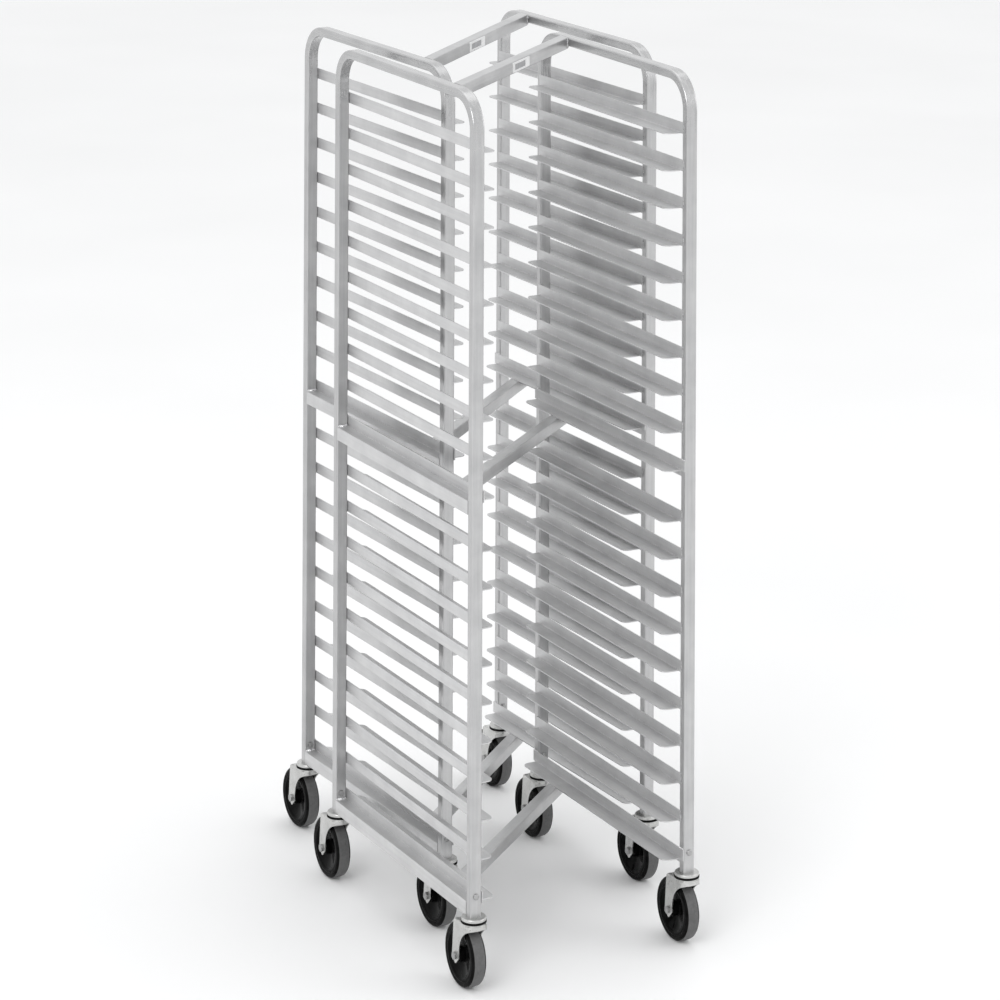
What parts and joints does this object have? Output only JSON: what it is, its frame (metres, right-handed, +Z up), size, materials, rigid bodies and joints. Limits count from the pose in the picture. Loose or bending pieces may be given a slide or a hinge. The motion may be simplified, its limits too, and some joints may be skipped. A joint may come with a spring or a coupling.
{
  "type": "sheet pan rack",
  "caption": "Z-plan nesting sheet pan rack of bent aluminium tube with welded angle slides and swivel casters, one rack rolled into another.",
  "frame": {"origin": "on the floor, under the middle of the nested pair's bounding box", "axes": "+Z up; +X from the front rack's left hoop to its right hoop; +Y from the open front to the rear, so pans go in along +Y"},
  "size_m": [0.628, 1.0528, 1.774],
  "materials": {
    "tube": "satin, mill finish",
    "slide": "satin, mill finish",
    "label": "etched, blank",
    "bolt": "zinc plated",
    "stem": "zinc plated",
    "fork": "bright zinc plated",
    "axle": "zinc plated",
    "hub": "moulded, matt",
    "tyre": "matt tread"
  },
  "bodies": {
    "back_rack": {"back_left_hoop": "tube", "back_right_hoop": "tube", "back_left_slides": "slide", "back_right_slides": "slide", "back_left_middle_rail": "slide", "back_right_middle_rail": "slide", "back_left_bottom_rail": "slide", "back_right_bottom_rail": "slide", "back_top_bar": "tube", "back_middle_bar": "tube", "back_bottom_bar": "tube", "back_label_plate": "label", "back_stem_bolts": "bolt", "back_caster_stems": "stem"},
    "front_rack": {"front_left_hoop": "tube", "front_right_hoop": "tube", "front_left_slides": "slide", "front_right_slides": "slide", "front_left_middle_rail": "slide", "front_right_middle_rail": "slide", "front_left_bottom_rail": "slide", "front_right_bottom_rail": "slide", "front_top_bar": "tube", "front_middle_bar": "tube", "front_bottom_bar": "tube", "front_label_plate": "label", "front_stem_bolts": "bolt", "front_caster_stems": "stem"},
    "back_left_front_swivel": {"back_left_front_fork": "fork", "back_left_front_axle": "axle"},
    "back_left_front_wheel": {"back_left_front_hub": "hub", "back_left_front_tyre": "tyre"},
    "back_left_rear_swivel": {"back_left_rear_fork": "fork", "back_left_rear_axle": "axle"},
    "back_left_rear_wheel": {"back_left_rear_hub": "hub", "back_left_rear_tyre": "tyre"},
    "back_right_front_swivel": {"back_right_front_fork": "fork", "back_right_front_axle": "axle"},
    "back_right_front_wheel": {"back_right_front_hub": "hub", "back_right_front_tyre": "tyre"},
    "back_right_rear_swivel": {"back_right_rear_fork": "fork", "back_right_rear_axle": "axle"},
    "back_right_rear_wheel": {"back_right_rear_hub": "hub", "back_right_rear_tyre": "tyre"},
    "front_left_front_swivel": {"front_left_front_fork": "fork", "front_left_front_axle": "axle"},
    "front_left_front_wheel": {"front_left_front_hub": "hub", "front_left_front_tyre": "tyre"},
    "front_left_rear_swivel": {"front_left_rear_fork": "fork", "front_left_rear_axle": "axle"},
    "front_left_rear_wheel": {"front_left_rear_hub": "hub", "front_left_rear_tyre": "tyre"},
    "front_right_front_swivel": {"front_right_front_fork": "fork", "front_right_front_axle": "axle"},
    "front_right_front_wheel": {"front_right_front_hub": "hub", "front_right_front_tyre": "tyre"},
    "front_right_rear_swivel": {"front_right_rear_fork": "fork", "front_right_rear_axle": "axle"},
    "front_right_rear_wheel": {"front_right_rear_hub": "hub", "front_right_rear_tyre": "tyre"}
  },
  "joints": [
    {"name": "front_rack_roll_out", "type": "slide", "parent": "back_rack", "child": "front_rack", "axis": [0, -1, 0], "range_m": [0, 0.6]},
    {"name": "back_left_front_swivel_turn", "type": "hinge", "parent": "back_rack", "child": "back_left_front_swivel", "pos_m": [-0.20177, -0.20707, 0.15], "axis": [0, 0, 1], "continuous": true},
    {"name": "back_left_front_wheel_spin", "type": "hinge", "parent": "back_left_front_swivel", "child": "back_left_front_wheel", "pos_m": [-0.20296, -0.17309, 0.0635], "axis": [0.9994, 0.0349, 0], "continuous": true},
    {"name": "back_left_rear_swivel_turn", "type": "hinge", "parent": "back_rack", "child": "back_left_rear_swivel", "pos_m": [-0.22337, 0.41155, 0.15], "axis": [0, 0, 1], "continuous": true},
    {"name": "back_left_rear_wheel_spin", "type": "hinge", "parent": "back_left_rear_swivel", "child": "back_left_rear_wheel", "pos_m": [-0.22456, 0.44553, 0.0635], "axis": [0.9994, 0.0349, 0], "continuous": true},
    {"name": "back_right_front_swivel_turn", "type": "hinge", "parent": "back_rack", "child": "back_right_front_swivel", "pos_m": [0.28693, -0.19001, 0.15], "axis": [0, 0, 1], "continuous": true},
    {"name": "back_right_front_wheel_spin", "type": "hinge", "parent": "back_right_front_swivel", "child": "back_right_front_wheel", "pos_m": [0.28574, -0.15603, 0.0635], "axis": [0.9994, 0.0349, 0], "continuous": true},
    {"name": "back_right_rear_swivel_turn", "type": "hinge", "parent": "back_rack", "child": "back_right_rear_swivel", "pos_m": [0.26533, 0.42861, 0.15], "axis": [0, 0, 1], "continuous": true},
    {"name": "back_right_rear_wheel_spin", "type": "hinge", "parent": "back_right_rear_swivel", "child": "back_right_rear_wheel", "pos_m": [0.26414, 0.46259, 0.0635], "axis": [0.9994, 0.0349, 0], "continuous": true},
    {"name": "front_left_front_swivel_turn", "type": "hinge", "parent": "front_rack", "child": "front_left_front_swivel", "pos_m": [-0.28597, -0.49687, 0.15], "axis": [0, 0, 1], "continuous": true},
    {"name": "front_left_front_wheel_spin", "type": "hinge", "parent": "front_left_front_swivel", "child": "front_left_front_wheel", "pos_m": [-0.28597, -0.46287, 0.0635], "axis": [1, 0, 0], "continuous": true},
    {"name": "front_left_rear_swivel_turn", "type": "hinge", "parent": "front_rack", "child": "front_left_rear_swivel", "pos_m": [-0.28597, 0.12213, 0.15], "axis": [0, 0, 1], "continuous": true},
    {"name": "front_left_rear_wheel_spin", "type": "hinge", "parent": "front_left_rear_swivel", "child": "front_left_rear_wheel", "pos_m": [-0.28597, 0.15613, 0.0635], "axis": [1, 0, 0], "continuous": true},
    {"name": "front_right_front_swivel_turn", "type": "hinge", "parent": "front_rack", "child": "front_right_front_swivel", "pos_m": [0.20303, -0.49687, 0.15], "axis": [0, 0, 1], "continuous": true},
    {"name": "front_right_front_wheel_spin", "type": "hinge", "parent": "front_right_front_swivel", "child": "front_right_front_wheel", "pos_m": [0.20303, -0.46287, 0.0635], "axis": [1, 0, 0], "continuous": true},
    {"name": "front_right_rear_swivel_turn", "type": "hinge", "parent": "front_rack", "child": "front_right_rear_swivel", "pos_m": [0.20303, 0.12213, 0.15], "axis": [0, 0, 1], "continuous": true},
    {"name": "front_right_rear_wheel_spin", "type": "hinge", "parent": "front_right_rear_swivel", "child": "front_right_rear_wheel", "pos_m": [0.20303, 0.15613, 0.0635], "axis": [1, 0, 0], "continuous": true}
  ]
}
